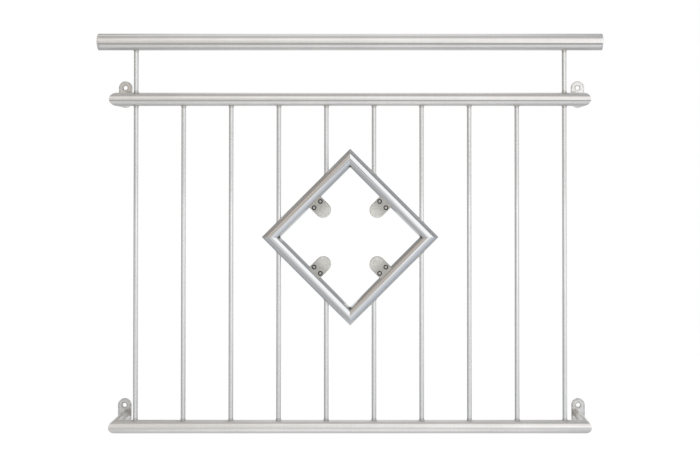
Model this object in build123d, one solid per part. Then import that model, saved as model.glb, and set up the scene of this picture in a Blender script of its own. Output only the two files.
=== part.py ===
from build123d import *

import os
from math import sqrt

# Juliet balcony railing in stainless steel: a handrail on two posts, two rails whose ends turn
# back to the wall, upright bars between the rails, and a square frame set on its corner among
# the bars, with four clamps that can hold a pane.
# Millimetres. +X runs along the railing, +Y points into the wall and +Z is up. The origin is on
# the back face of the lower left wall plate, on the axis of the tube that is welded to it.

# Rails: upper and lower, alike, with mitred returns to the wall
RAIL_DIAMETER = 33.7
RAIL_WALL = 2.0
RAIL_LENGTH = 1220.0  # over the outer sides of the returns
RAIL_FROM_WALL = 95.0  # rail axis to the wall
UPPER_RAIL_HEIGHT = 830.0  # upper rail axis above the lower rail axis

# Handrail with a crowned cap in each end
HANDRAIL_DIAMETER = 42.4
HANDRAIL_WALL = 2.0
HANDRAIL_OVERHANG = 32.5  # past the rails at each end, cap included
HANDRAIL_RISE = 146.0  # handrail axis above the upper rail axis
CAP_RIM = 4.5  # straight edge that shows beyond the tube
CAP_CROWN = 2.0  # rise of the crown above the rim
CAP_EDGE_ROUND = 1.2
CAP_SPIGOT = 18.0  # length that plugs into the tube
CAP_SPIGOT_WALL = 3.0
CAP_CLEARANCE = 0.1

# Wall plates: oblong, welded to the returns, one bolt each
PLATE_THICKNESS = 6.0
PLATE_LEDGE = 0.4  # plate beyond the return tube at each side
PLATE_HOLE_DIAMETER = 11.0
PLATE_HOLE_FROM_TUBE = 18.15  # hole centre above the top of the return tube
PLATE_HOLE_CHAMFER = 0.7
PLATE_EDGE_ROUND = 1.0

# Bars: solid rods, each end in a hole drilled through one tube wall
BAR_DIAMETER = 12.0
BAR_COUNT = 10
BAR_END_INSET = 65.5  # outermost bar axis from the end of the rails
BAR_CLEARANCE = 0.1  # round a bar in its hole
BAR_SEAT = 4.0  # bar end past the inner face of the tube wall
BAR_SPLIT_GAP = 1.0  # least gap between the halves of a bar that the frame cuts

# Square frame of mitred tube, standing on its corner
FRAME_TUBE = 33.7
FRAME_WALL = 2.0
FRAME_SIDE = 284.0  # between the axes of opposite sides
FRAME_DROP = 350.0  # frame centre below the upper rail axis

# Pane clamps, one at the middle of each frame side
CLAMP_WIDTH = 39.0
CLAMP_REACH = 47.3  # round tip beyond the frame tube
CLAMP_EDGE_ROUND = 1.5
JAW_THICKNESS = 8.5
HEEL_DEPTH = 18.1  # solid heel beyond the frame tube
PANE_GAP = 6.0  # between the two pads
PAD_THICKNESS = 1.0
PAD_MARGIN = 2.0  # pad edge inside the jaw edge
SADDLE_CLEARANCE = 0.1  # between a clamp and the frame tube
SCREW_DIAMETER = 4.0
SCREW_HEAD_DIAMETER = 6.4
SCREW_HEAD_HEIGHT = 4.0
SCREW_SOCKET = 3.0  # across flats
SCREW_SOCKET_DEPTH = 2.0
SCREW_GRIP = 12.0  # thread in the heel
SCREW_END_ROOM = 1.0  # hole beyond the end of the thread
SCREW_SPACING = 22.4
SCREW_FROM_TUBE = 7.9
SCREW_CLEARANCE = 0.1
RECESS_DIAMETER = 12.2
RECESS_DEPTH = 5.5
WASHER_THICKNESS = 1.0

# Places that follow from the sizes above
RETURN_X = (RAIL_LENGTH - RAIL_DIAMETER) / 2
HANDRAIL_LENGTH = RAIL_LENGTH + 2 * HANDRAIL_OVERHANG
HANDRAIL_HEIGHT = UPPER_RAIL_HEIGHT + HANDRAIL_RISE
FRAME_HEIGHT = UPPER_RAIL_HEIGHT - FRAME_DROP
FRAME_CORNER = FRAME_SIDE / sqrt(2)  # frame centre to where two side axes meet
FRAME_OUTER_CORNER = FRAME_CORNER + FRAME_TUBE / sqrt(2)
BAR_PITCH = (RAIL_LENGTH - 2 * BAR_END_INSET) / (BAR_COUNT - 1)
BAR_PLACES = [(i - (BAR_COUNT - 1) / 2) * BAR_PITCH for i in range(BAR_COUNT)]
POST_PLACES = [BAR_PLACES[0], BAR_PLACES[-1]]
PLATE_WIDTH = RAIL_DIAMETER + 2 * PLATE_LEDGE
PLATE_HOLE_RISE = RAIL_DIAMETER / 2 + PLATE_HOLE_FROM_TUBE
JAW_INNER = PANE_GAP / 2 + PAD_THICKNESS  # inner face of a jaw from the clamp's middle
CLAMP_FACE = JAW_INNER + JAW_THICKNESS  # outer face of a jaw from the clamp's middle
CLAMP_TIP = FRAME_TUBE / 2 + CLAMP_REACH
HEEL_END = FRAME_TUBE / 2 + HEEL_DEPTH
SCREW_Z = -(FRAME_TUBE / 2 + SCREW_FROM_TUBE)
RECESS_FLOOR = -CLAMP_FACE + RECESS_DEPTH
HEAD_UNDERSIDE = RECESS_FLOOR - WASHER_THICKNESS
SCREW_END = -JAW_INNER + SCREW_GRIP

# Frame sides by their place, as turns about Y from a side at the top
FRAME_TURNS = {"upper_left": -45, "upper_right": 45, "lower_right": 135, "lower_left": -135}

# From a frame centred on the rails to the origin on the lower left wall plate
TO_ORIGIN = Pos(RETURN_X, -RAIL_FROM_WALL, 0)


def save(name, shape):
    """Writes one piece in the part's own frame."""
    export_step(TO_ORIGIN * shape, f"parts/{name}.step")


def rod(diameter, length, axis_turn=Rot()):
    """A solid rod that starts at the origin and runs along Z, or along Z as turned."""
    return axis_turn * Cylinder(diameter / 2, length, align=(Align.CENTER, Align.CENTER, Align.MIN))


def tube(diameter, wall, length):
    """A straight tube along X, centred on the origin."""
    section = Plane.YZ * (Circle(diameter / 2) - Circle(diameter / 2 - wall))
    return extrude(section, amount=length / 2, both=True)


def slab(outline, front, back):
    """An outline drawn in X and Z, as thick as from one depth in Y to another."""
    return extrude(Plane.XZ.offset(-back) * outline, amount=back - front)


def seat_in_rail(diameter, wall):
    """Distance from a level tube's axis to the end of an upright bar that enters it."""
    inner = diameter / 2 - wall
    return sqrt(inner**2 - (BAR_DIAMETER / 2) ** 2) - BAR_SEAT


def bar_holes(places, reach):
    """Drills for bars that enter a level tube, from its axis upwards or, below zero, downwards."""
    drill = rod(BAR_DIAMETER + 2 * BAR_CLEARANCE, abs(reach), Rot(0, 0 if reach > 0 else 180, 0))
    return [Pos(x, 0, 0) * drill for x in places]


def mitre(side):
    """Plane that a rail and its return meet on, at the left (-1) or right (1) end."""
    return Plane(origin=(side * RETURN_X, 0, 0), z_dir=(side, 1, 0))


def rail():
    """A rail's front tube, mitred at both ends."""
    run = tube(RAIL_DIAMETER, RAIL_WALL, RAIL_LENGTH)
    for side in (-1, 1):
        run = split(run, bisect_by=mitre(side), keep=Keep.BOTTOM)
    return run


def rail_return(side):
    """The short tube from a rail's mitre back to its wall plate."""
    length = 2 * RAIL_FROM_WALL
    leg = Pos(side * RETURN_X, 0, 0) * Rot(0, 0, 90) * tube(RAIL_DIAMETER, RAIL_WALL, length)
    leg = split(leg, bisect_by=mitre(side), keep=Keep.TOP)
    plate_face = Plane(origin=(0, RAIL_FROM_WALL - PLATE_THICKNESS, 0), z_dir=(0, 1, 0))
    return split(leg, bisect_by=plate_face, keep=Keep.BOTTOM)


def wall_plate():
    """An oblong plate: its lower end is round the return, its upper end round the bolt hole."""
    outline = Pos(0, PLATE_HOLE_RISE / 2) * SlotCenterToCenter(PLATE_HOLE_RISE, PLATE_WIDTH, 90)
    plate = slab(outline, RAIL_FROM_WALL - PLATE_THICKNESS, RAIL_FROM_WALL)
    front_rim = plate.faces().sort_by(Axis.Y)[0].edges()
    plate = fillet(front_rim, PLATE_EDGE_ROUND)
    hole = Pos(0, PLATE_HOLE_RISE) * Circle(PLATE_HOLE_DIAMETER / 2)
    plate -= slab(hole, 0, RAIL_FROM_WALL)
    hole_rim = plate.faces().sort_by(Axis.Y)[0].inner_wires()[0].edges()
    return chamfer(hole_rim, PLATE_HOLE_CHAMFER)


def handrail_tube():
    """The handrail without its caps, drilled from below for the posts."""
    length = HANDRAIL_LENGTH - 2 * (CAP_RIM + CAP_CROWN)
    run = tube(HANDRAIL_DIAMETER, HANDRAIL_WALL, length)
    return run - bar_holes(POST_PLACES, -HANDRAIL_DIAMETER)


def handrail_cap(side):
    """A crowned cap with a hollow spigot, at the left (-1) or right (1) end."""
    radius = HANDRAIL_DIAMETER / 2
    crown_radius = (radius**2 + CAP_CROWN**2) / (2 * CAP_CROWN)
    head = rod(HANDRAIL_DIAMETER, CAP_RIM + CAP_CROWN)
    head &= Pos(0, 0, CAP_RIM + CAP_CROWN - crown_radius) * Sphere(crown_radius)
    crown_edge = head.edges().filter_by(lambda edge: edge.is_closed).sort_by(Axis.Z)[-1]
    head = fillet(crown_edge, CAP_EDGE_ROUND)
    spigot = HANDRAIL_DIAMETER - 2 * (HANDRAIL_WALL + CAP_CLEARANCE)
    plug = rod(spigot, CAP_SPIGOT) - rod(spigot - 2 * CAP_SPIGOT_WALL, CAP_SPIGOT)
    cap = head + Pos(0, 0, -CAP_SPIGOT) * plug
    tube_end = HANDRAIL_LENGTH / 2 - CAP_RIM - CAP_CROWN
    return Pos(side * tube_end, 0, 0) * Rot(0, side * 90, 0) * cap


def upright(x, low, high):
    """A bar between two heights."""
    return Pos(x, 0, low) * rod(BAR_DIAMETER, high - low)


def seat_in_frame(x):
    """Height above or below the frame centre where a bar at x ends, inside the frame tube."""
    inner = FRAME_TUBE / 2 - FRAME_WALL
    below_tube_axis = inner * sqrt(2) - BAR_DIAMETER / 2 - BAR_SEAT
    return max(FRAME_CORNER - abs(x) + below_tube_axis, BAR_SPLIT_GAP / 2)


def meets_frame(x):
    """True where a bar would run into the frame."""
    return abs(x) - BAR_DIAMETER / 2 - BAR_CLEARANCE < FRAME_OUTER_CORNER


def bars():
    """Every bar between the rails, by name; the frame cuts some into an upper and a lower one."""
    seat = seat_in_rail(RAIL_DIAMETER, RAIL_WALL)
    low, high = seat, UPPER_RAIL_HEIGHT - seat
    made = {}
    for number, x in enumerate(BAR_PLACES, start=1):
        if meets_frame(x):
            seat_height = seat_in_frame(x)
            made[f"bar_{number:02d}_upper"] = upright(x, FRAME_HEIGHT + seat_height, high)
            made[f"bar_{number:02d}_lower"] = upright(x, low, FRAME_HEIGHT - seat_height)
        else:
            made[f"bar_{number:02d}"] = upright(x, low, high)
    return made


def handrail_post(x):
    """A post between the upper rail and the handrail."""
    low = UPPER_RAIL_HEIGHT + seat_in_rail(RAIL_DIAMETER, RAIL_WALL)
    high = HANDRAIL_HEIGHT - seat_in_rail(HANDRAIL_DIAMETER, HANDRAIL_WALL)
    return upright(x, low, high)


def frame_side(turn):
    """One mitred side of the square frame, drilled where bars enter it."""
    side = Pos(0, 0, FRAME_SIDE / 2) * tube(FRAME_TUBE, FRAME_WALL, FRAME_SIDE + FRAME_TUBE)
    for end in (-1, 1):
        side = split(side, bisect_by=Plane(origin=(0, 0, 0), z_dir=(end, 0, -1)), keep=Keep.BOTTOM)
    side = Pos(0, 0, FRAME_HEIGHT) * Rot(0, turn, 0) * side
    drill = rod(BAR_DIAMETER + 2 * BAR_CLEARANCE, 2 * FRAME_OUTER_CORNER)
    for x in filter(meets_frame, BAR_PLACES):
        side -= Pos(x, 0, FRAME_HEIGHT + seat_in_frame(x)) * drill
        side -= Pos(x, 0, FRAME_HEIGHT - seat_in_frame(x)) * Rot(180, 0, 0) * drill
    return side


def on_frame(turn):
    """Place of a clamp: the middle of a frame side's axis, with -Z towards the frame centre."""
    return Pos(0, 0, FRAME_HEIGHT) * Rot(0, turn, 0) * Pos(0, 0, FRAME_SIDE / 2)


def tongue(width, start, tip):
    """Straight-sided outline with a half-round end, between two distances below the axis."""
    round_centre = tip - width / 2
    outline = Pos(0, -round_centre / 2) * Rectangle(width, round_centre)
    outline += Pos(0, -round_centre) * Circle(width / 2)
    return outline & Pos(0, -(start + tip) / 2) * Rectangle(width, tip - start)


def saddle():
    """Space of the frame tube, with clearance, that a clamp is shaped to."""
    return Rot(0, 90, 0) * Cylinder(FRAME_TUBE / 2 + SADDLE_CLEARANCE, 2 * CLAMP_WIDTH)


def at_screws(shape):
    """A shape made along Y, at each of a clamp's two screws."""
    return [Pos(side * SCREW_SPACING / 2, 0, SCREW_Z) * shape for side in (-1, 1)]


def screw_hole(diameter, front, back):
    """A round hole along Y between two depths."""
    return slab(Circle(diameter / 2), front, back)


def clamp_base():
    """Rear jaw with the heel that the cover is screwed to."""
    jaw = slab(tongue(CLAMP_WIDTH, 0, CLAMP_TIP), JAW_INNER, CLAMP_FACE)
    jaw = fillet(jaw.faces().sort_by(Axis.Y)[-1].edges(), CLAMP_EDGE_ROUND)
    heel = slab(Pos(0, -HEEL_END / 2) * Rectangle(CLAMP_WIDTH, HEEL_END), -JAW_INNER, JAW_INNER)
    thread = screw_hole(SCREW_DIAMETER + 2 * SCREW_CLEARANCE, -JAW_INNER, SCREW_END + SCREW_END_ROOM)
    return jaw + heel - saddle() - at_screws(thread)


def clamp_cover():
    """Front jaw, with a round recess for each screw head."""
    jaw = slab(tongue(CLAMP_WIDTH, 0, CLAMP_TIP), -CLAMP_FACE, -JAW_INNER)
    jaw = fillet(jaw.faces().sort_by(Axis.Y)[0].edges(), CLAMP_EDGE_ROUND)
    recess = screw_hole(RECESS_DIAMETER, -CLAMP_FACE, RECESS_FLOOR)
    hole = screw_hole(SCREW_DIAMETER + 2 * SCREW_CLEARANCE, RECESS_FLOOR, -JAW_INNER)
    return jaw - saddle() - at_screws(recess) - at_screws(hole)


def clamp_screw():
    """A cap screw along Y with a hexagon socket."""
    head_top = HEAD_UNDERSIDE - SCREW_HEAD_HEIGHT
    head = slab(Circle(SCREW_HEAD_DIAMETER / 2), head_top, HEAD_UNDERSIDE)
    hexagon = RegularPolygon(SCREW_SOCKET / 2, 6, major_radius=False)
    socket = slab(hexagon, head_top, head_top + SCREW_SOCKET_DEPTH)
    shank = slab(Circle(SCREW_DIAMETER / 2), HEAD_UNDERSIDE, SCREW_END)
    return head + shank - socket


def clamp_washer():
    """A flat washer on the floor of a recess."""
    outer = RECESS_DIAMETER - 2 * SCREW_CLEARANCE
    ring = Circle(outer / 2) - Circle(SCREW_DIAMETER / 2 + SCREW_CLEARANCE)
    return slab(ring, HEAD_UNDERSIDE, RECESS_FLOOR)


def clamp_pads():
    """The two soft pads that face each other across the pane."""
    outline = tongue(CLAMP_WIDTH - 2 * PAD_MARGIN, HEEL_END + PAD_MARGIN, CLAMP_TIP - PAD_MARGIN)
    front = slab(outline, -JAW_INNER, -JAW_INNER + PAD_THICKNESS)
    back = slab(outline, JAW_INNER - PAD_THICKNESS, JAW_INNER)
    return [front, back]


def on_every_clamp(shapes):
    """Copies of some shapes at all four clamps, as one set."""
    return Compound([on_frame(turn) * shape for turn in FRAME_TURNS.values() for shape in shapes])


os.makedirs("parts", exist_ok=True)

save("handrail", Pos(0, 0, HANDRAIL_HEIGHT) * handrail_tube())
lower_rail = rail() - bar_holes(BAR_PLACES, RAIL_DIAMETER)
upper_rail = rail() - bar_holes(BAR_PLACES, -RAIL_DIAMETER) - bar_holes(POST_PLACES, RAIL_DIAMETER)
save("lower_rail", lower_rail)
save("upper_rail", Pos(0, 0, UPPER_RAIL_HEIGHT) * upper_rail)

for side_name, side in (("left", -1), ("right", 1)):
    save(f"handrail_cap_{side_name}", Pos(0, 0, HANDRAIL_HEIGHT) * handrail_cap(side))
    save(f"handrail_post_{side_name}", handrail_post(side * POST_PLACES[-1]))
    for rail_name, height in (("lower", 0), ("upper", UPPER_RAIL_HEIGHT)):
        save(f"{rail_name}_rail_return_{side_name}", Pos(0, 0, height) * rail_return(side))
        save(f"wall_plate_{rail_name}_{side_name}", Pos(side * RETURN_X, 0, height) * wall_plate())

for name, shape in bars().items():
    save(name, shape)

for place, turn in FRAME_TURNS.items():
    save(f"frame_side_{place}", frame_side(turn))
    save(f"clamp_base_{place}", on_frame(turn) * clamp_base())
    save(f"clamp_cover_{place}", on_frame(turn) * clamp_cover())

save("clamp_screws", on_every_clamp(at_screws(clamp_screw())))
save("clamp_washers", on_every_clamp(at_screws(clamp_washer())))
save("clamp_pads", on_every_clamp(clamp_pads()))
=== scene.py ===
from math import cos, pi, radians, sin, sqrt, tan, tau
from random import Random

import bmesh
import bpy
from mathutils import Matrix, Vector


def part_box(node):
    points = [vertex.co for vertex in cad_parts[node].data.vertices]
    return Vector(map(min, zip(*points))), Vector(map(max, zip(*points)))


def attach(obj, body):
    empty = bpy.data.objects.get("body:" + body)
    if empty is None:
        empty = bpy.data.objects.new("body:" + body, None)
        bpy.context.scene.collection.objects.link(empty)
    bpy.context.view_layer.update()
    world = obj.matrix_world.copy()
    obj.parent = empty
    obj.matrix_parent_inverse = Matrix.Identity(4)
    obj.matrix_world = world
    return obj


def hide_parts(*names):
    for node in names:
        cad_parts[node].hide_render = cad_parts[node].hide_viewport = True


# Juliet balcony railing in stainless steel, in metres: +X runs along the railing, +Y into the wall and
# +Z up, and the origin is on the back of the lower left wall plate.
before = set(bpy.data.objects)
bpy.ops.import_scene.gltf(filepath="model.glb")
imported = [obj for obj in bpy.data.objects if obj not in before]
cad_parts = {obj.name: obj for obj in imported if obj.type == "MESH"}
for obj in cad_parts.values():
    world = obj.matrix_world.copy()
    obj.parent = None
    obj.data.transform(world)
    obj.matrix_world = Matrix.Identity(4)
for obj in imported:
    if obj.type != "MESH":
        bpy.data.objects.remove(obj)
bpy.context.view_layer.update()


# Rails: two lengths of 33.7 mm stainless tube, ground to a satin finish. Their ends are mitred, and
# a short return of the same tube is welded on at each and dressed flush, so that it turns to the wall.
RAIL_RADIUS = 0.01685
RAIL_WALL = 0.002
SEAM = 0.0002
TUBE_SEGMENTS = 128
SMOOTH_UNDER = radians(35)
SATIN_TONES = ((0.705, 0.692, 0.677, 1), (0.660, 0.648, 0.633, 1))
SATIN_ROUGHNESS = (0.27, 0.33)
GRAIN_STRENGTH = 0.3
GRAIN_DEPTH = 0.00002
GRINDING_SMEAR = 0.92
QUARTER_TURN = 0.25
ALONG_X = (2600, 45, 45)  # grinding cells a metre
ALONG_Y = (45, 2600, 45)
BELT_BANDS = (0.3, 0.3, 0.3)  # as a share of the grinding cells
BELT_CLOUDS = 9.0  # cells a metre
TONE_SPAN = (0.7, 1.3)
WEAR_SPAN = (0.1, 0.4)
HEAT_GREY = (0.50, 0.487, 0.470, 1)
WELD_CORE = 0.006
WELD_REACH = 0.008
HEAT_CELLS = 160.0
BAR_COUNT = 10
BAR_PITCH = 0.121
FAR = 10.0  # a step past the end of the railing, for a row that doesn't repeat that way
HALF = (0.5, 0.5, 0.5)
WHOLE = (0.0, 1.0)
FADING = (1.0, 0.0)
LOW_DETAIL = 2.0
MID_DETAIL = 3.0
HIGH_DETAIL = 4.0
EVEN_BREAKUP = 0.5


def middle(node):
    """Middle of a node's box."""
    low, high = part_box(node)
    return (low + high) / 2


def return_seat(level, side):
    """Where a return's axis meets its wall plate: the middle of the plate's round lower end."""
    low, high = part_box(f"wall_plate_{level}_{side}")
    return Vector(((low.x + high.x) / 2, low.y, low.z + (high.x - low.x) / 2))


def feed(tree, socket, value):
    """Sets a socket to a plain value, or links it to another socket."""
    if isinstance(value, bpy.types.NodeSocket):
        tree.links.new(value, socket)
    else:
        socket.default_value = value


def put(tree, kind, values, **settings):
    """A shader node whose sockets are set to plain values or linked to other sockets."""
    node = tree.nodes.new(kind)
    for name, value in settings.items():
        setattr(node, name, value)
    for socket, value in values.items():
        feed(tree, node.inputs[socket], value)
    return node


def reckon(tree, operation, *values):
    """Result of a sum on numbers."""
    return put(tree, "ShaderNodeMath", dict(enumerate(values)), operation=operation).outputs[0]


def steer(tree, operation, *values):
    """Result of a sum on places or directions."""
    return put(tree, "ShaderNodeVectorMath", dict(enumerate(values)), operation=operation).outputs[0]


def length(tree, way):
    """Length of a direction."""
    return put(tree, "ShaderNodeVectorMath", {0: way}, operation="LENGTH").outputs["Value"]


def own_place(tree):
    """Place on the railing of the point that is shaded."""
    return put(tree, "ShaderNodeTexCoord", {}).outputs["Object"]


def noise(tree, place, cells, detail, breakup=EVEN_BREAKUP):
    """Soft random cells from 0 to 1, so many to a unit of the place."""
    values = {"Vector": place, "Scale": cells, "Detail": detail, "Roughness": breakup}
    return put(tree, "ShaderNodeTexNoise", values).outputs["Fac"]


def spread(tree, value, span, onto=WHOLE, interpolation="LINEAR"):
    """A value carried from one span onto another and kept within it."""
    values = {
        "Value": value, "From Min": span[0], "From Max": span[1], "To Min": onto[0], "To Max": onto[1],
    }
    return put(tree, "ShaderNodeMapRange", values, interpolation_type=interpolation).outputs[0]


def mixed(tree, share, first, second):
    """The colour between two that a share from 0 to 1 gives."""
    blend = put(tree, "ShaderNodeMix", {"Factor": share}, data_type="RGBA")
    sockets = [socket for socket in blend.inputs if socket.type == "RGBA"]
    for socket, colour in zip(sockets, (first, second)):
        feed(tree, socket, colour)
    return next(socket for socket in blend.outputs if socket.type == "RGBA")


def bumped(tree, height, strength, depth):
    """Normal of a surface with a fine relief."""
    values = {"Height": height, "Strength": strength, "Distance": depth}
    return put(tree, "ShaderNodeBump", values).outputs["Normal"]


def effect(name, inputs, outputs):
    """An empty shader group with named sockets; gives the group, its inputs and its outputs."""
    group = bpy.data.node_groups.new(name, "ShaderNodeTree")
    for socket, kind in inputs.items():
        group.interface.new_socket(socket, in_out="INPUT", socket_type=f"NodeSocket{kind}")
    for socket, kind in outputs.items():
        group.interface.new_socket(socket, in_out="OUTPUT", socket_type=f"NodeSocket{kind}")
    return group, put(group, "NodeGroupInput", {}).outputs, put(group, "NodeGroupOutput", {}).inputs


def ground_finish():
    """Grinding lines across a tube, with the slow changes of tone that a belt leaves along it."""
    group, given, out = effect(
        "Ground finish",
        {"Stretch": "Vector", "Light": "Color", "Dark": "Color", "Smoothest": "Float", "Roughest": "Float"},
        {"Color": "Color", "Roughness": "Float", "Height": "Float"},
    )
    place = own_place(group)
    fine = steer(group, "MULTIPLY", place, given["Stretch"])
    lines = noise(group, fine, 1.0, MID_DETAIL)
    bands = noise(group, steer(group, "MULTIPLY", fine, BELT_BANDS), 1.0, LOW_DETAIL)
    clouds = noise(group, place, BELT_CLOUDS, HIGH_DETAIL)
    share = spread(group, reckon(group, "ADD", bands, clouds), TONE_SPAN)
    wear = reckon(group, "MULTIPLY", lines, clouds)
    rough = spread(group, wear, WEAR_SPAN, (given["Smoothest"], given["Roughest"]))
    group.links.new(mixed(group, share, given["Light"], given["Dark"]), out["Color"])
    group.links.new(rough, out["Roughness"])
    group.links.new(lines, out["Height"])
    return group


def from_nearest(group, place, first, steps):
    """The way from the nearest of a row of places, given the first and the steps to the next."""
    away = steer(group, "SUBTRACT", place, first)
    half = steer(group, "MULTIPLY", steps, HALF)
    return steer(group, "WRAP", away, half, steer(group, "SUBTRACT", half, steps))


def heat_tint_and_shade_halo():
    """Ragged halo round a row of places: heat tint round the bar welds, painted shade in the frame's inner
    corners and a dark patch on each wall plate.
    """
    group, given, out = effect(
        "Heat tint and painted shade",
        {"Weld": "Vector", "Steps": "Vector", "Core": "Float", "Reach": "Float"},
        {"Mark": "Float"},
    )
    place = own_place(group)
    distance = length(group, from_nearest(group, place, given["Weld"], given["Steps"]))
    ragged = noise(group, place, HEAT_CELLS, MID_DETAIL)
    end = reckon(group, "MULTIPLY_ADD", given["Reach"], ragged, given["Core"])
    group.links.new(spread(group, distance, (given["Core"], end), FADING, "SMOOTHSTEP"), out["Mark"])
    return group


GROUND_FINISH = ground_finish()
HEAT_TINT_AND_SHADE_HALO = heat_tint_and_shade_halo()


def shader(name):
    """A new material, its node tree and the sockets of its surface shader."""
    material = bpy.data.materials.new(name)
    material.use_nodes = True
    return material, material.node_tree, material.node_tree.nodes["Principled BSDF"].inputs


def dress(tree, surface, colour, roughness, normal, metallic=1.0):
    """Feeds a surface its colour, roughness and normal."""
    surface["Metallic"].default_value = metallic
    tree.links.new(colour, surface["Base Color"])
    tree.links.new(roughness, surface["Roughness"])
    tree.links.new(normal, surface["Normal"])


def marked(tree, colour, marks):
    """A colour with marks laid over it, each a group that puts out a mask, its values and a tone."""
    for group, values, tone in marks:
        mask = put(tree, "ShaderNodeGroup", values, node_tree=group)
        colour = mixed(tree, mask.outputs["Mark"], colour, tone)
    return colour


def heat_mark(weld, steps):
    """Grey heat tint round a row of bars welded in place."""
    return HEAT_TINT_AND_SHADE_HALO, {"Weld": weld, "Steps": steps, "Core": WELD_CORE, "Reach": WELD_REACH}, HEAT_GREY


def satin_steel(name, stretch, axis=None, marks=(), roughness=SATIN_ROUGHNESS, tones=SATIN_TONES):
    """Ground stainless steel; the stretch is grinding cells a metre along X, Y and Z.

    A tube or rod ground round its axis smears reflections along it.
    """
    material, tree, surface = shader(name)
    ground = put(tree, "ShaderNodeGroup", {
        "Stretch": stretch, "Light": tones[0], "Dark": tones[1],
        "Smoothest": roughness[0], "Roughest": roughness[1],
    }, node_tree=GROUND_FINISH).outputs
    if axis is not None:
        round_axis = put(tree, "ShaderNodeTangent", {}, direction_type="RADIAL", axis=axis)
        tree.links.new(round_axis.outputs["Tangent"], surface["Tangent"])
        surface["Anisotropic"].default_value = GRINDING_SMEAR
        surface["Anisotropic Rotation"].default_value = QUARTER_TURN
    grain = bumped(tree, ground["Height"], GRAIN_STRENGTH, GRAIN_DEPTH)
    dress(tree, surface, marked(tree, ground["Color"], marks), ground["Roughness"], grain)
    return material


def add_piece(name, points, faces, material, slot, *nodes):
    """A closed mesh that rides on the railing and may stand for some nodes."""
    mesh = bpy.data.meshes.new(name)
    mesh.from_pydata([tuple(point) for point in points], [], faces)
    shape = bmesh.new()
    shape.from_mesh(mesh)
    bmesh.ops.recalc_face_normals(shape, faces=shape.faces)
    shape.to_mesh(mesh)
    shape.free()
    mesh.shade_smooth()
    mesh.set_sharp_from_angle(angle=SMOOTH_UNDER)
    mesh.materials.append(material)
    made = bpy.data.objects.new(name, mesh)
    bpy.context.scene.collection.objects.link(made)
    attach(made, "root")
    if nodes:
        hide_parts(*nodes)


def loops(ring_count, segments, closed):
    """Quads between one ring of points and the next, and back from the last ring if closed."""
    faces = []
    for ring in range(ring_count if closed else ring_count - 1):
        here = ring * segments
        there = (ring + 1) % ring_count * segments
        for i in range(segments):
            j = (i + 1) % segments
            faces.append((here + i, here + j, there + j, there + i))
    return faces


def cut_tube(start, end, radius, wall, start_cut, end_cut):
    """Points and faces of a tube whose ends lie in planes with the given normals."""
    along = (end - start).normalized()
    side = along.orthogonal().normalized()
    up = along.cross(side)
    inside = radius - wall
    outline = [(start, start_cut, radius - SEAM, 0), (start, start_cut, radius, SEAM),
               (end, end_cut, radius, -SEAM), (end, end_cut, radius - SEAM, 0),
               (end, end_cut, inside, 0), (start, start_cut, inside, 0)]
    points = []
    for centre, cut, distance, inset in outline:
        for i in range(TUBE_SEGMENTS):
            angle = tau * i / TUBE_SEGMENTS
            out = distance * (cos(angle) * side + sin(angle) * up)
            slide = inset - out.dot(cut) / along.dot(cut)
            points.append(centre + out + slide * along)
    return points, loops(len(outline), TUBE_SEGMENTS, closed=True)


AXIS_Y = middle("handrail_cap_left").y
MIDDLE_X = middle("clamp_pads").x
BAR_SPAN = (BAR_COUNT - 1) * BAR_PITCH
FIRST_BAR_X = MIDDLE_X - BAR_SPAN / 2
TO_WALL = Vector((0, 1, 0))
MITRES = {"left": Vector((-1, 1, 0)), "right": Vector((1, 1, 0))}

return_steel = satin_steel("Satin steel returns", ALONG_Y, "Y")
for level in ("upper", "lower"):
    seats = {side: return_seat(level, side) for side in MITRES}
    corners = {side: Vector((seat.x, AXIS_Y, seat.z)) for side, seat in seats.items()}
    joint_z = corners["left"].z + (RAIL_RADIUS if level == "lower" else -RAIL_RADIUS)
    bar_heat = heat_mark((FIRST_BAR_X, AXIS_Y, joint_z), (BAR_PITCH, FAR, FAR))
    rail_steel = satin_steel(f"Satin steel {level} rail", ALONG_X, "X", [bar_heat])
    points, faces = cut_tube(corners["left"], corners["right"], RAIL_RADIUS, RAIL_WALL,
                             MITRES["left"], MITRES["right"])
    add_piece(f"{level}_rail_tube", points, faces, rail_steel, "satin_steel", f"{level}_rail")
    for side, cut in MITRES.items():
        points, faces = cut_tube(corners[side], seats[side], RAIL_RADIUS, RAIL_WALL, cut, TO_WALL)
        add_piece(f"{level}_return_tube_{side}", points, faces, return_steel, "satin_steel",
                  f"{level}_rail_return_{side}")


# Wall plates: oblong plates cut from 6 mm stainless sheet with one bolt hole each, with a lengthwise
# rubbing grain and the rim and the hole eased by hand. Shade is painted in a band along each plate's rim
# and round its hole, and each plate is darker in a patch beside the top of its return.
PLATE_HALF_WIDTH = 0.01725
PLATE_HOLE_RADIUS = 0.0055
PLATE_HOLE_RISE = 0.035
ALONG_PLATE = (900, 300, 60)
PLATE_ROUGHNESS = (0.26, 0.36)
RIM_SHADE_WIDTH = 0.0065
RIM_SHADE_GREY = (0.37, 0.367, 0.352, 1)
RIM_SHADE_CELLS = 220.0
RIM_SHADE_SPAN = (0.3, 0.6)
ON_THE_FACE = (1, 0, 1)
ABOVE_THE_HOLE = (-FAR, 0, 0)
PLATE_PATCH_TONE = (0.42, 0.405, 0.390, 1)
PLATE_PATCH_INWARD = 0.009
PLATE_PATCH_REACH = 0.014


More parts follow.
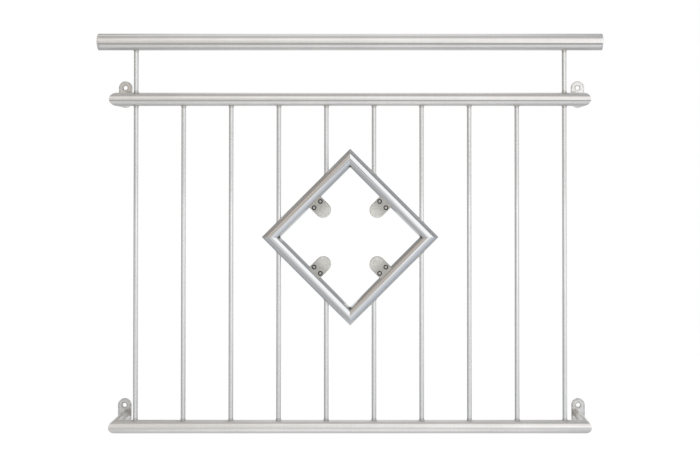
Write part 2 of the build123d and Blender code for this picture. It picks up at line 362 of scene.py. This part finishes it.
def rim_shade_mask():
    """Painted shade in a band along a plate's rim and round its hole, for a row of like plates."""
    group, given, out = effect(
        "Painted rim shade",
        {"Hole": "Vector", "Steps": "Vector", "Hole radius": "Float", "Rim radius": "Float",
         "Width": "Float"},
        {"Mark": "Float"},
    )
    place = own_place(group)
    hole_radius, rim_radius, width = given["Hole radius"], given["Rim radius"], given["Width"]
    nearest = from_nearest(group, place, given["Hole"], given["Steps"])
    from_hole = steer(group, "MULTIPLY", nearest, ON_THE_FACE)
    from_middle = steer(group, "MAXIMUM", from_hole, ABOVE_THE_HOLE)
    ring_end = reckon(group, "ADD", hole_radius, width)
    rim_start = reckon(group, "SUBTRACT", rim_radius, width)
    ring = spread(group, length(group, from_hole), (hole_radius, ring_end), FADING, "SMOOTHSTEP")
    rim = spread(group, length(group, from_middle), (rim_start, rim_radius), WHOLE, "SMOOTHSTEP")
    patchy = spread(group, noise(group, place, RIM_SHADE_CELLS, MID_DETAIL), RIM_SHADE_SPAN)
    either = reckon(group, "MAXIMUM", ring, rim)
    group.links.new(reckon(group, "MULTIPLY", either, patchy), out["Mark"])
    return group


def refinish(node, material):
    """Gives a node's own mesh a new finish."""
    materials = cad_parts[node].data.materials
    materials.clear()
    materials.append(material)


RIM_SHADE_MASK = rim_shade_mask()
RAIL_RISE = return_seat("upper", "left").z - return_seat("lower", "left").z
TO_OTHER_PLATE = (FAR, FAR, RAIL_RISE)
for side, inward in (("left", 1), ("right", -1)):
    seat = return_seat("lower", side)
    # Painted shade: a darker band along each plate's rim and round its hole.
    painted_rim_shade = (RIM_SHADE_MASK, {
        "Hole": seat + Vector((0, 0, PLATE_HOLE_RISE)), "Steps": TO_OTHER_PLATE,
        "Hole radius": PLATE_HOLE_RADIUS, "Rim radius": PLATE_HALF_WIDTH, "Width": RIM_SHADE_WIDTH,
    }, RIM_SHADE_GREY)
    # A dark patch on each plate, beside the top of its return.
    dark_patch = (HEAT_TINT_AND_SHADE_HALO, {
        "Weld": seat + Vector((inward * PLATE_PATCH_INWARD, 0, RAIL_RADIUS)), "Steps": TO_OTHER_PLATE,
        "Core": WELD_CORE, "Reach": PLATE_PATCH_REACH,
    }, PLATE_PATCH_TONE)
    plate_steel = satin_steel(f"Satin steel plates {side}", ALONG_PLATE, None, [painted_rim_shade, dark_patch],
                              PLATE_ROUGHNESS)
    for level in ("upper", "lower"):
        refinish(f"wall_plate_{level}_{side}", plate_steel)


# Bars: solid 12 mm rods of stainless, ground round and round like the rails. Six run from rail to
# rail; the four in the middle are cut by the frame into an upper and a lower length.
BAR_RADIUS = 0.006
BAR_SEGMENTS = 64
BAR_END_EASE = 0.0005
AT_THE_END = -1e-9  # the least distance back from the end
AROUND_BAR = (50, 50, 2600)
BAR_ROUGHNESS = (0.18, 0.24)
BAR_TONES = ((0.692, 0.692, 0.690, 1), (0.648, 0.648, 0.646, 1))
CUT_BARS = (4, 5, 6, 7)


def turned(start, end, outline):
    """Points and faces of a solid turned about the line between two points.

    The outline is distances from the start or, below zero, back from the end, with a radius at each.
    """
    along = (end - start).normalized()
    side = along.orthogonal().normalized()
    up = along.cross(side)
    points = []
    for distance, radius in outline:
        centre = start + distance * along if distance >= 0 else end + distance * along
        for i in range(BAR_SEGMENTS):
            angle = tau * i / BAR_SEGMENTS
            points.append(centre + radius * (cos(angle) * side + sin(angle) * up))
    last = (len(outline) - 1) * BAR_SEGMENTS
    ends = [tuple(range(BAR_SEGMENTS)), tuple(range(last, last + BAR_SEGMENTS))]
    return points, loops(len(outline), BAR_SEGMENTS, closed=False) + ends


def add_rod(name, node, x, material):
    """A rod with eased ends in the place of an upright node."""
    low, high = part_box(node)
    neck = BAR_RADIUS - BAR_END_EASE
    outline = [(0, neck), (BAR_END_EASE, BAR_RADIUS), (-BAR_END_EASE, BAR_RADIUS), (AT_THE_END, neck)]
    points, faces = turned(Vector((x, AXIS_Y, low.z)), Vector((x, AXIS_Y, high.z)), outline)
    add_piece(name, points, faces, material, "satin_steel", node)


LOWER_Z = return_seat("lower", "left").z
UPPER_Z = return_seat("upper", "left").z
BAR_PLACES = [FIRST_BAR_X + i * BAR_PITCH for i in range(BAR_COUNT)]
bar_heat = heat_mark((FIRST_BAR_X, AXIS_Y, LOWER_Z + RAIL_RADIUS),
                     (BAR_PITCH, FAR, RAIL_RISE - 2 * RAIL_RADIUS))
bar_steel = satin_steel("Satin steel bars", AROUND_BAR, "Z", [bar_heat], BAR_ROUGHNESS, BAR_TONES)
for number, x in enumerate(BAR_PLACES, start=1):
    parts = ("_upper", "_lower") if number in CUT_BARS else ("",)
    for part in parts:
        add_rod(f"bar_rod_{number:02d}{part}", f"bar_{number:02d}{part}", x, bar_steel)


# Handrail: 42.4 mm stainless tube in the same satin finish, closed at each end by a crowned cap that
# is plugged in, and carried on two posts cut from the bar stock.
HANDRAIL_RADIUS = 0.0212
HANDRAIL_WALL = 0.002
CAP_EDGE = 0.0065
AROUND_CAP = (300, 700, 700)
CAP_ROUGHNESS = (0.24, 0.30)
END_CUT = Vector((1, 0, 0))

handrail_z = middle("handrail_cap_left").z
left_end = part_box("handrail_cap_left")[0].x + CAP_EDGE
right_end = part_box("handrail_cap_right")[1].x - CAP_EDGE
handrail_steel = satin_steel("Satin steel handrail", ALONG_X, "X")
points, faces = cut_tube(Vector((left_end, AXIS_Y, handrail_z)), Vector((right_end, AXIS_Y, handrail_z)),
                         HANDRAIL_RADIUS, HANDRAIL_WALL, END_CUT, END_CUT)
add_piece("handrail_tube", points, faces, handrail_steel, "satin_steel", "handrail")
cap_steel = satin_steel("Satin steel caps", AROUND_CAP, roughness=CAP_ROUGHNESS)
post_gap = handrail_z - HANDRAIL_RADIUS - UPPER_Z - RAIL_RADIUS
post_heat = heat_mark((FIRST_BAR_X, AXIS_Y, UPPER_Z + RAIL_RADIUS), (BAR_SPAN, FAR, post_gap))
post_steel = satin_steel("Satin steel posts", AROUND_BAR, "Z", [post_heat], BAR_ROUGHNESS, BAR_TONES)
for side, x in (("left", BAR_PLACES[0]), ("right", BAR_PLACES[-1])):
    refinish(f"handrail_cap_{side}", cap_steel)
    add_rod(f"post_rod_{side}", f"handrail_post_{side}", x, post_steel)


# Square frame: four sides of 33.7 mm stainless tube, mitred, welded and polished bright, standing on a
# corner among the bars. Fine draw lines run along each side, and a hair line shows at each mitre. Shade
# is painted as a dark spot in each inner corner, set a little in front of the mitre.
FRAME_RADIUS = 0.01685
FRAME_WALL = 0.002
FRAME_HALF = 0.142
FRAME_SIDES = {"upper_left": (-1, 1), "upper_right": (1, 1), "lower_right": (1, -1), "lower_left": (-1, -1)}
FRAME_CENTRE = Vector((MIDDLE_X, AXIS_Y, middle("clamp_pads").z))
POLISHED = (0.685, 0.69, 0.697, 1)
POLISHED_DULL = (0.645, 0.65, 0.657, 1)
POLISHED_ROUGHNESS = (0.03, 0.07)
POLISH_CLOUDS = 30.0
POLISH_SPAN = (0.3, 0.7)
DRAW_LINES = (1.5, 260, 260)  # cells a metre, along a side first
DRAW_STRENGTH = 0.45
DRAW_DEPTH = 0.0002
CORNER_SHADE_TONE = (0.32, 0.315, 0.31, 1)
CORNER_SHADE_CORE = 0.003
CORNER_SHADE_REACH = 0.008
CORNER_SHADE_DEPTH = 0.0071
CORNER_SHADE_INSET = 0.0022
CORNER_SHADE_PLACE = (FRAME_HALF - FRAME_RADIUS) * sqrt(2) + CORNER_SHADE_INSET


def polished_steel(name, turn):
    """Bright tube with draw lines along an axis that is turned about Y from level, and painted shade in the
    frame's inner corners.
    """
    material, tree, surface = shader(name)
    place = own_place(tree)
    drawn = put(tree, "ShaderNodeMapping", {"Vector": place, "Rotation": (0, turn, 0), "Scale": DRAW_LINES})
    lines = noise(tree, drawn.outputs[0], 1.0, MID_DETAIL)
    clouds = noise(tree, place, POLISH_CLOUDS, HIGH_DETAIL)
    # Painted shade: a dark spot in each inner corner of the frame, a little in front of the mitre.
    corner_shades = []
    for across, up in ((0, 1), (1, 0)):
        spot = {
            "Weld": FRAME_CENTRE + Vector((across * CORNER_SHADE_PLACE, -CORNER_SHADE_DEPTH, up * CORNER_SHADE_PLACE)),
            "Steps": (2 * CORNER_SHADE_PLACE if across else FAR, 2 * CORNER_SHADE_DEPTH, 2 * CORNER_SHADE_PLACE if up else FAR),
            "Core": CORNER_SHADE_CORE, "Reach": CORNER_SHADE_REACH,
        }
        corner_shades.append((HEAT_TINT_AND_SHADE_HALO, spot, CORNER_SHADE_TONE))
    colour = marked(tree, mixed(tree, clouds, POLISHED, POLISHED_DULL), corner_shades)
    rough = spread(tree, clouds, POLISH_SPAN, POLISHED_ROUGHNESS)
    dress(tree, surface, colour, rough, bumped(tree, lines, DRAW_STRENGTH, DRAW_DEPTH))
    return material


rising = polished_steel("Polished steel rising sides", radians(45))
falling = polished_steel("Polished steel falling sides", radians(-45))
for corner, (across, up) in FRAME_SIDES.items():
    tip_level = FRAME_CENTRE + Vector((across * FRAME_HALF * sqrt(2), 0, 0))
    tip_upright = FRAME_CENTRE + Vector((0, 0, up * FRAME_HALF * sqrt(2)))
    points, faces = cut_tube(tip_level, tip_upright, FRAME_RADIUS, FRAME_WALL,
                             Vector((0, 0, 1)), Vector((1, 0, 0)))
    add_piece(f"frame_tube_{corner}", points, faces, rising if across != up else falling, "polished_steel",
              f"frame_side_{corner}")


# Weld beads: small fillets of stainless rod run round every bar where it enters a rail, the handrail
# or the frame, with the ripples of the puddle left in them, and a run over each return on its plate.
BEAD_RADIUS = 0.0012
BEAD_POINTS = 144
BEAD_SIDES = 10
BEAD_RIPPLES = 24
RIPPLE_DEPTH = 0.10
BEAD_SWELLS = 2
SWELL_DEPTH = 0.14
LEAST_TAPER = 0.05
PLATE_RUN = radians(75)
WELD_LIGHT = (0.60, 0.59, 0.575, 1)
WELD_DARK = (0.40, 0.39, 0.375, 1)
WELD_CELLS = 420.0
WELD_ROUGHNESS = (0.25, 0.5)
LUMP_STRENGTH = 0.4
LUMP_DEPTH = 0.0003
draws = Random(5)


def weld_metal():
    """Weld bead: mottled, with patches of grey oxide."""
    material, tree, surface = shader("Weld metal")
    mottle = noise(tree, own_place(tree), WELD_CELLS, HIGH_DETAIL)
    colour = mixed(tree, mottle, WELD_LIGHT, WELD_DARK)
    rough = spread(tree, mottle, WHOLE, WELD_ROUGHNESS)
    dress(tree, surface, colour, rough, bumped(tree, mottle, LUMP_STRENGTH, LUMP_DEPTH))
    return material


def bead(path, outward, closed=True):
    """Points and faces of a rippled bead along a path; outward leads away from the corner it fills."""
    count = len(path)
    ripple_start = draws.uniform(0, tau)
    swell_start = draws.uniform(0, tau)
    points = []
    for i in range(count):
        share = i / count
        before = path[i - 1] if closed or i else path[i]
        after = path[(i + 1) % count] if closed or i + 1 < count else path[i]
        along = (after - before).normalized()
        out = (outward[i] - outward[i].dot(along) * along).normalized()
        side = along.cross(out)
        swell = 1 + SWELL_DEPTH * sin(BEAD_SWELLS * tau * share + swell_start)
        ripple = 1 + RIPPLE_DEPTH * sin(BEAD_RIPPLES * tau * share + ripple_start)
        size = BEAD_RADIUS * swell * ripple
        if not closed:
            size *= sqrt(max(sin(pi * (i + 0.5) / count), LEAST_TAPER))
        for k in range(BEAD_SIDES):
            angle = tau * k / BEAD_SIDES
            points.append(path[i] + size * (cos(angle) * out + sin(angle) * side))
    faces = loops(count, BEAD_SIDES, closed)
    if not closed:
        last = (count - 1) * BEAD_SIDES
        faces += [tuple(range(BEAD_SIDES)), tuple(range(last, last + BEAD_SIDES))]
    return points, faces


def round_a_bar(x, centre, axis, radius, up):
    """Bead where an upright bar enters a tube, from above (1) or from below (-1)."""
    path, outward = [], []
    for i in range(BEAD_POINTS):
        angle = tau * i / BEAD_POINTS
        spoke = Vector((cos(angle), sin(angle), 0))
        foot = Vector((x, AXIS_Y, 0)) + BAR_RADIUS * spoke
        away = Vector((foot.x - centre.x, foot.y - centre.y, 0))
        flat = away - away.dot(axis) * axis
        rise = Vector((0, 0, 1)) - axis.z * axis
        a, b, c = rise.length_squared, flat.dot(rise), flat.length_squared - radius**2
        foot.z = centre.z + (-b + up * sqrt(max(b * b - a * c, 0))) / a
        path.append(foot)
        outward.append(spoke + Vector((0, 0, up)))
    return bead(path, outward)


def add_beads(name, beads):
    """Several beads as one piece."""
    points, faces = [], []
    for more_points, more_faces in beads:
        shift = len(points)
        points += more_points
        faces += [tuple(corner + shift for corner in face) for face in more_faces]
    add_piece(name, points, faces, weld_steel, "satin_steel")


weld_steel = weld_metal()
LEVEL = Vector((1, 0, 0))
POST_PLACES = (BAR_PLACES[0], BAR_PLACES[-1])
lower_axis = Vector((MIDDLE_X, AXIS_Y, LOWER_Z))
upper_axis = Vector((MIDDLE_X, AXIS_Y, UPPER_Z))
handrail_axis = Vector((MIDDLE_X, AXIS_Y, handrail_z))
add_beads("lower_rail_welds", [round_a_bar(x, lower_axis, LEVEL, RAIL_RADIUS, 1) for x in BAR_PLACES])
add_beads("upper_rail_welds", [round_a_bar(x, upper_axis, LEVEL, RAIL_RADIUS, -1) for x in BAR_PLACES])
add_beads("post_welds", [round_a_bar(x, upper_axis, LEVEL, RAIL_RADIUS, 1) for x in POST_PLACES]
          + [round_a_bar(x, handrail_axis, LEVEL, HANDRAIL_RADIUS, -1) for x in POST_PLACES])

frame_beads = []
for number in CUT_BARS:
    x = BAR_PLACES[number - 1]
    hand = 1 if x > MIDDLE_X else -1
    for up in (1, -1):
        tip = FRAME_CENTRE + Vector((hand * FRAME_HALF * sqrt(2), 0, 0))
        frame_beads.append(round_a_bar(x, tip, Vector((-hand, 0, up)).normalized(), FRAME_RADIUS, up))
add_beads("frame_welds", frame_beads)

plate_beads = []
for level in ("upper", "lower"):
    for side in MITRES:
        seat = return_seat(level, side)
        turns = [PLATE_RUN * (2 * i / (BEAD_POINTS - 1) - 1) for i in range(BEAD_POINTS)]
        spokes = [Vector((sin(turn), 0, cos(turn))) for turn in turns]
        plate_beads.append(bead([seat + RAIL_RADIUS * spoke for spoke in spokes],
                                [spoke - TO_WALL for spoke in spokes], closed=False))
add_beads("plate_welds", plate_beads)


# Pane clamps: a cast base and cover at the middle of each frame side, blasted to a dull warm grey. The
# covers are held by two cap screws on black washers, and soft pads line the jaws for a pane.
CLAMP_TONES = ((0.66, 0.65, 0.615, 1), (0.54, 0.53, 0.50, 1))
CLAMP_OUTER_TONE = (0.40, 0.39, 0.365, 1)
DARKENING_NEAR = 0.086
DARKENING_FAR = 0.118
SCREW_TONES = ((0.50, 0.49, 0.48, 1), (0.36, 0.35, 0.34, 1))
WASHER_BLACKS = ((0.018, 0.018, 0.019, 1), (0.035, 0.035, 0.036, 1))
RUBBER_TONES = ((0.022, 0.022, 0.022, 1), (0.05, 0.049, 0.047, 1))
PATCH_DETAIL = 5.0
PATCH_BREAKUP = 0.6
PATCH_SPAN = (0.3, 0.7)
ROUGHNESS_SWING = 0.06
PIT_STRENGTH = 0.5


def outward_darkening_mask():
    """Mask that deepens from a near distance to a far one, away from a centre."""
    group, given, out = effect(
        "Outward darkening", {"Centre": "Vector", "Near": "Float", "Far": "Float"}, {"Mark": "Float"}
    )
    distance = length(group, steer(group, "SUBTRACT", own_place(group), given["Centre"]))
    mark = spread(group, distance, (given["Near"], given["Far"]), WHOLE, "SMOOTHSTEP")
    group.links.new(mark, out["Mark"])
    return group


def mottled(name, tones, patch_cells, pit_cells, pit_depth, roughness, metallic=1.0, marks=()):
    """A surface with patches of two tones and fine pits; cells are counted in a metre."""
    material, tree, surface = shader(name)
    place = own_place(tree)
    patches = noise(tree, place, patch_cells, PATCH_DETAIL, PATCH_BREAKUP)
    pits = noise(tree, place, pit_cells, LOW_DETAIL)
    colour = marked(tree, mixed(tree, spread(tree, patches, PATCH_SPAN), *tones), marks)
    rough = spread(tree, patches, PATCH_SPAN, (roughness - ROUGHNESS_SWING, roughness + ROUGHNESS_SWING))
    dress(tree, surface, colour, rough, bumped(tree, pits, PIT_STRENGTH, pit_depth), metallic)
    return material


# The clamps are darker away from the frame's centre, from the tips of the covers towards the tubes.
clamp_darkening = (outward_darkening_mask(), {"Centre": FRAME_CENTRE, "Near": DARKENING_NEAR, "Far": DARKENING_FAR}, CLAMP_OUTER_TONE)
clamp_metal = mottled("Blasted clamp metal", CLAMP_TONES, patch_cells=190, pit_cells=1800,
                      pit_depth=0.0002, roughness=0.48, marks=[clamp_darkening])
screw_steel = mottled("Screw steel", SCREW_TONES, patch_cells=500, pit_cells=2500,
                      pit_depth=0.00004, roughness=0.25)
# The washers are near black, which makes a dark ring round each screw head.
washer_black = mottled("Near-black washers", WASHER_BLACKS, patch_cells=300, pit_cells=3000,
                       pit_depth=0.00005, roughness=0.5, metallic=0.0)
pad_rubber = mottled("Pad rubber", RUBBER_TONES, patch_cells=240, pit_cells=2200,
                     pit_depth=0.00008, roughness=0.75, metallic=0.0)
refinish("clamp_screws", screw_steel)
refinish("clamp_washers", washer_black)
refinish("clamp_pads", pad_rubber)
for corner in FRAME_SIDES:
    refinish(f"clamp_base_{corner}", clamp_metal)
    refinish(f"clamp_cover_{corner}", clamp_metal)


# Stage: a plain pale floor below the railing under an even white sky. The floor and the sky show
# white to the camera and in the metal, and the floor keeps the railing's shadow.
FLOOR_Z = -1.1
FLOOR_HALF = 9.0
FLOOR_PALE = (0.80, 0.80, 0.80, 1)
FLOOR_ROUGHNESS = 0.9
FLOOR_GLOW = 0.40
SKY_ON_MATT = 0.72
WHITE = (1, 1, 1, 1)


def shown_white(tree):
    """1 for rays from the camera, in reflections and through glass, 0 for the light on matt surfaces."""
    ray = put(tree, "ShaderNodeLightPath", {}).outputs
    either = reckon(tree, "ADD", ray["Is Camera Ray"], ray["Is Glossy Ray"])
    total = put(tree, "ShaderNodeMath", {0: either, 1: ray["Is Transmission Ray"]}, operation="ADD",
                use_clamp=True)
    return total.outputs[0]


def stage_sheet(name, centre, half_a, half_b, material):
    """A flat four-sided sheet that isn't part of the railing."""
    mesh = bpy.data.meshes.new(name)
    corners = [centre - half_a - half_b, centre + half_a - half_b, centre + half_a + half_b,
               centre - half_a + half_b]
    mesh.from_pydata([tuple(corner) for corner in corners], [], [(0, 1, 2, 3)])
    mesh.materials.append(material)
    made = bpy.data.objects.new(name, mesh)
    bpy.context.scene.collection.objects.link(made)
    return made


floor_paint, tree, surface = shader("Pale floor")
surface["Base Color"].default_value = FLOOR_PALE
surface["Roughness"].default_value = FLOOR_ROUGHNESS
surface["Emission Color"].default_value = WHITE
tree.links.new(reckon(tree, "MULTIPLY", shown_white(tree), FLOOR_GLOW), surface["Emission Strength"])
stage_sheet("floor", Vector((MIDDLE_X, 0, FLOOR_Z)), Vector((FLOOR_HALF, 0, 0)),
            Vector((0, FLOOR_HALF, 0)), floor_paint)

scene = bpy.context.scene
scene.world = bpy.data.worlds.new("White sky")
scene.world.use_nodes = True
sky = scene.world.node_tree
sky_light = sky.nodes["Background"].inputs
sky_light["Color"].default_value = WHITE
sky.links.new(spread(sky, shown_white(sky), WHOLE, (SKY_ON_MATT, 1.0)), sky_light["Strength"])


# Lamps and cards: softboxes in front give the metal its bright lines, and one overhead lights the matt
# surfaces and the floor. Toned cards stand round the railing, and only the metal mirrors them.
BLACK = (0, 0, 0, 1)
SOFTBOXES = (  # name, place, width, height and radiance of those that face the wall
    ("front_softbox", (2.325, -2.7, 0.4), 1.95, 0.9, 0.70),
    ("fill_softbox", (0.25, -2.75, 1.725), 5.3, 3.35, 0.32),
    ("left_softbox", (-1.0, -2.8, 2.5), 2.8, 1.8, 0.25),
    ("right_softbox", (2.2, -2.8, 2.325), 1.4, 2.15, 0.12),
)
OVERHEAD_PLACE = (MIDDLE_X, -0.9, 3.4)
OVERHEAD_AIM = (MIDDLE_X, -0.1, 0)
OVERHEAD_SIDE = 2.0
OVERHEAD_RADIANCE = 3.0


def softbox(name, place, aim, width, height, radiance):
    """A soft rectangular lamp that the camera doesn't see."""
    lamp = bpy.data.lights.new(name, "AREA")
    lamp.shape = "RECTANGLE"
    lamp.size = width
    lamp.size_y = height
    lamp.energy = pi * width * height * radiance
    made = bpy.data.objects.new(name, lamp)
    made.location = place
    made.rotation_euler = (Vector(aim) - Vector(place)).to_track_quat("-Z", "Y").to_euler()
    made.visible_camera = False
    scene.collection.objects.link(made)
    return made


for name, place, width, height, radiance in SOFTBOXES:
    softbox(name, place, (place[0], 0, place[2]), width, height, radiance)
overhead = softbox("overhead_softbox", OVERHEAD_PLACE, OVERHEAD_AIM, OVERHEAD_SIDE, OVERHEAD_SIDE,
                   OVERHEAD_RADIANCE)
overhead.visible_glossy = False


def card(name, centre, half_a, half_b, tone, clear_back=False):
    """A card that only the metal mirrors, in one tone; its back may be clear."""
    material, tree, surface = shader(name)
    surface["Base Color"].default_value = BLACK
    surface["Specular IOR Level"].default_value = 0
    surface["Emission Strength"].default_value = 1
    surface["Emission Color"].default_value = (*tone, 1)
    if clear_back:
        behind = put(tree, "ShaderNodeNewGeometry", {}).outputs["Backfacing"]
        tree.links.new(reckon(tree, "SUBTRACT", 1.0, behind), surface["Alpha"])
    made = stage_sheet(name, Vector(centre), Vector(half_a), Vector(half_b), material)
    made.visible_camera = False
    made.visible_diffuse = False
    made.visible_transmission = False
    made.visible_shadow = False


def grey(shade):
    """A neutral tone."""
    return shade, shade, shade


CARDS = (  # name, centre, two half sides, tone and whether the back is clear
    ("shelf_card", (MIDDLE_X, -1.12, 0.55), (2.2, 0, 0), (0, 0.58, 0), grey(0.50), True),
    ("ceiling_card", (MIDDLE_X, -1.0, 3.5), (3.5, 0, 0), (0, 0.45, 0), grey(0.55), False),
    ("apron_card", (MIDDLE_X, 1.9, -0.75), (3.5, 0, 0), (0, 2.2, 0), grey(0.78), False),
    ("camera_card", (-0.275, -2.6, 0.09), (0.825, 0, 0), (0, 0, 0.99), grey(0.86), False),
    ("tan_card", (-0.22, -2.58, 0.92), (0.38, 0, 0), (0, 0, 0.28), (0.70, 0.63, 0.56), False),
    ("plate_card", (-0.7, -2.59, 1.1), (0.3, 0, 0), (0, 0, 0.35), grey(0.50), False),
    ("left_card", (-2.4, 0.0, 0.6), (0, 2.5, 0), (0, 0, 1.3), grey(0.50), False),
)
for values in CARDS:
    card(*values)

STRIP_CENTRE = FRAME_CENTRE + Vector((-0.055, 0, -0.10))
STRIPS = (  # name, side of the frame, distance out, first and last degrees from ahead, half width, tone
    ("far_tan_strip", (-1, 1), 1.4, 12, 28, 0.55, (0.42, 0.36, 0.30)),
    ("tan_strip", (-1, 1), 1.4, 28, 46, 0.42, (0.71, 0.64, 0.565)),
    ("umber_strip", (-1, 1), 1.9, 46, 64, 0.46, (0.67, 0.60, 0.53)),
    ("brown_strip", (-1, 1), 1.9, 64, 104, 0.42, (0.40, 0.365, 0.33)),
    ("bark_strip", (-1, 1), 1.9, 104, 165, 0.75, (0.38, 0.365, 0.35)),
    ("cool_strip", (1, -1), 1.4, 26, 50, 0.42, (0.79, 0.83, 0.895)),
    ("blue_strip", (1, -1), 1.4, 50, 68, 0.36, (0.73, 0.765, 0.825)),
    ("slate_strip", (1, -1), 1.4, 68, 92, 0.34, (0.58, 0.61, 0.655)),
    ("flint_strip", (1, -1), 1.4, 92, 165, 0.65, (0.525, 0.545, 0.575)),
    ("far_grey_strip", (-1, -1), 1.4, 10, 28, 0.55, (0.64, 0.65, 0.67)),
    ("grey_strip", (-1, -1), 1.4, 28, 98, 0.36, (0.59, 0.60, 0.615)),
    ("dark_strip", (-1, -1), 1.4, 98, 165, 0.65, (0.46, 0.47, 0.485)),
    ("line_strip", (1, 1), 1.9, 64, 90, 0.42, (0.38, 0.39, 0.405)),
    ("edge_strip", (1, 1), 1.9, 90, 165, 0.75, (0.47, 0.48, 0.495)),
)
for name, (across, up), reach, first, last, half_width, tone in STRIPS:
    toward = Vector((across, 0, up)).normalized()
    beside = Vector((up, 0, -across)).normalized()
    near, far = (AXIS_Y - reach / tan(radians(turn)) for turn in (first, last))
    centre = STRIP_CENTRE + reach * toward
    centre.y = (near + far) / 2
    card(name, centre, half_width * beside, (0, (far - near) / 2, 0), tone)


# Camera: nearly square on to the railing, a little to the right of its middle and above the frame. The
# lens is shifted down and to the left, which keeps the uprights parallel.
CAMERA_PLACE = (0.6994, -2.955, 0.6751)
CAMERA_TILT = 0.0125
CAMERA_LENS = 57.84
CAMERA_SENSOR = 36.0
CAMERA_SHIFT = (-0.0600, -0.1247)

view = bpy.data.cameras.new("camera")
view.lens = CAMERA_LENS
view.sensor_width = CAMERA_SENSOR
view.shift_x, view.shift_y = CAMERA_SHIFT
scene.camera = bpy.data.objects.new("camera", view)
scene.camera.location = CAMERA_PLACE
scene.camera.rotation_euler = (pi / 2 + CAMERA_TILT, 0, 0)
scene.collection.objects.link(scene.camera)
scene.view_settings.view_transform = "Standard"
